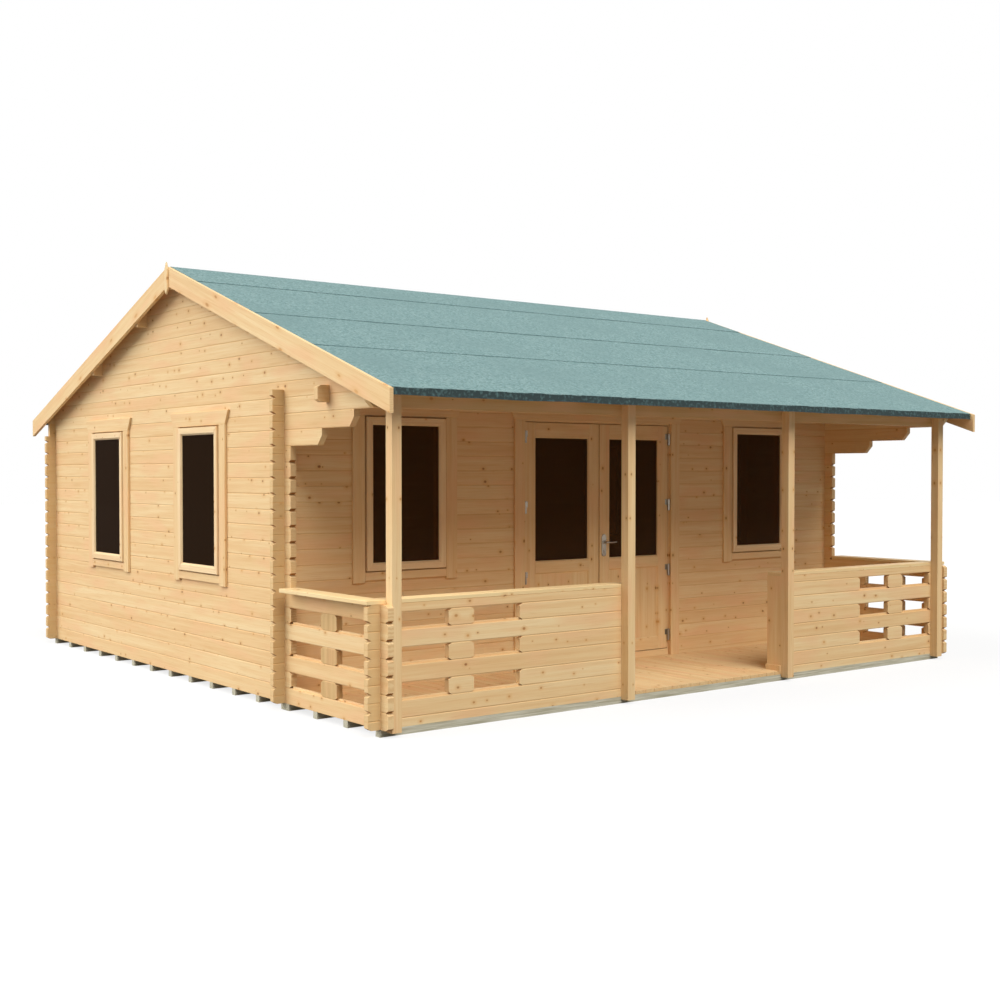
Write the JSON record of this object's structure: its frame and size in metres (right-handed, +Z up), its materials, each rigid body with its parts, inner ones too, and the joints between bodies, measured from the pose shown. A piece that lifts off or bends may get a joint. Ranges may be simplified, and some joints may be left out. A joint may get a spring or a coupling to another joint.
{
  "type": "log cabin with veranda",
  "caption": "Pine log cabin with a felted gable roof, a railed veranda along the front, glazed double doors and tall narrow windows.",
  "frame": {"origin": "on the ground under the middle of the ridge, at the foot of the bearers", "axes": "+X to the right along the front, +Y to the back, +Z up"},
  "size_m": [6.254, 6.56, 3.3799],
  "materials": {
    "log_pine": "planed",
    "planed_pine": "planed",
    "joinery_pine": "sanded",
    "treated_timber": "sawn",
    "roofing_felt": "mineral surfaced",
    "window_glass": "clear",
    "steel_fittings": "satin"
  },
  "bodies": {
    "cabin": {"bearers": "treated_timber", "cabin_floor": "planed_pine", "veranda_floor": "planed_pine", "front_wall_left": "log_pine", "front_wall_right": "log_pine", "front_wall_head": "log_pine", "gable_wall_left": "log_pine", "gable_wall_right": "log_pine", "rear_wall": "log_pine", "side_rail_left": "log_pine", "side_rail_right": "log_pine", "front_rail_left": "log_pine", "front_rail_right": "log_pine", "rail_caps": "planed_pine", "rail_end_boards": "planed_pine", "veranda_posts": "log_pine", "eave_beam": "log_pine", "tie_log": "log_pine", "purlins": "log_pine", "roof_boards_front": "planed_pine", "roof_boards_rear": "planed_pine", "felt_front": "roofing_felt", "felt_rear": "roofing_felt", "felt_ridge": "roofing_felt", "bargeboards_left": "planed_pine", "bargeboards_right": "planed_pine", "finials": "planed_pine", "window_front_left": "joinery_pine", "window_front_right": "joinery_pine", "window_left_front": "joinery_pine", "window_left_rear": "joinery_pine", "window_right_front": "joinery_pine", "window_right_rear": "joinery_pine", "glass_front": "window_glass", "glass_left": "window_glass", "glass_right": "window_glass", "door_frame": "joinery_pine", "hinge_seats": "steel_fittings"},
    "left_leaf": {"door_leaf_left": "joinery_pine", "door_glass_left": "window_glass", "hinges_left": "steel_fittings"},
    "right_leaf": {"door_leaf_right": "joinery_pine", "door_glass_right": "window_glass", "hinges_right": "steel_fittings", "door_handle": "steel_fittings"}
  },
  "joints": [
    {"name": "left_leaf_swing", "type": "hinge", "parent": "cabin", "child": "left_leaf", "pos_m": [-0.809, -1.737, 1], "axis": [0, 0, -1], "range_deg": [0, 100]},
    {"name": "right_leaf_swing", "type": "hinge", "parent": "cabin", "child": "right_leaf", "pos_m": [0.809, -1.737, 1], "axis": [0, 0, 1], "range_deg": [0, 100]}
  ]
}
